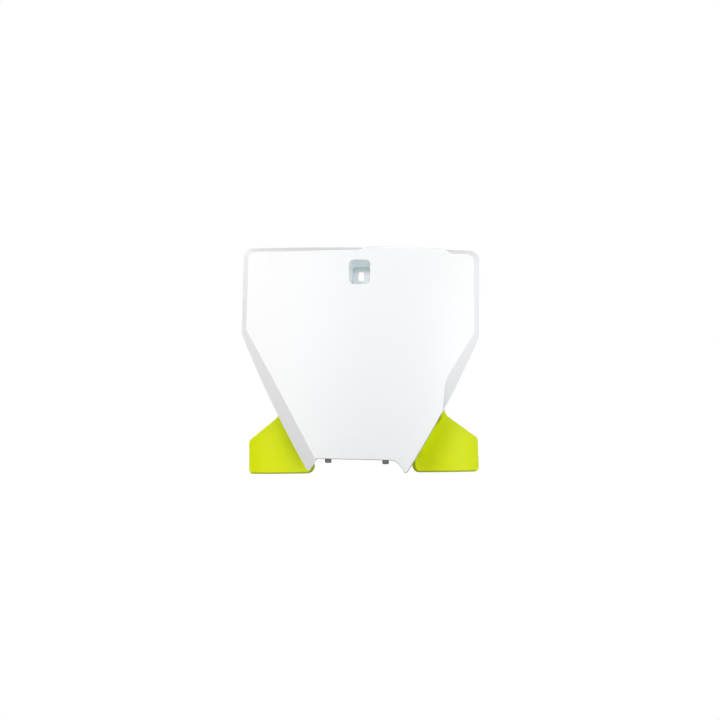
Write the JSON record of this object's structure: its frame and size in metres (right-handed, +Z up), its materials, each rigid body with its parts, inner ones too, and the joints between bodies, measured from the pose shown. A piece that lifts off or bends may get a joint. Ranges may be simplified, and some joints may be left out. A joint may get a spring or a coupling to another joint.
{
  "type": "racing number board",
  "caption": "Moulded front number board for an off-road motorbike: bevelled white shell with a slotted screw pocket at the top, capped pegs at the foot and yellow deflector wings behind.",
  "frame": {"origin": "middle of the top screw slot, on the rear pad that seats against the bracket", "axes": "+X to the viewer's right, -Y the way the board faces, +Z up"},
  "size_m": [0.2536, 0.0562, 0.2447],
  "materials": {
    "white_plastic": "satin gloss moulded polypropylene",
    "yellow_plastic": "satin gloss fluorescent yellow polypropylene",
    "cap_rubber": "matt dark grey rubber",
    "plated_steel": "zinc plated"
  },
  "bodies": {
    "root": {"number_plate": "white_plastic", "left_wing": "yellow_plastic", "right_wing": "yellow_plastic", "left_peg_cap": "cap_rubber", "right_peg_cap": "cap_rubber", "wing_screws": "plated_steel"}
  },
  "joints": []
}
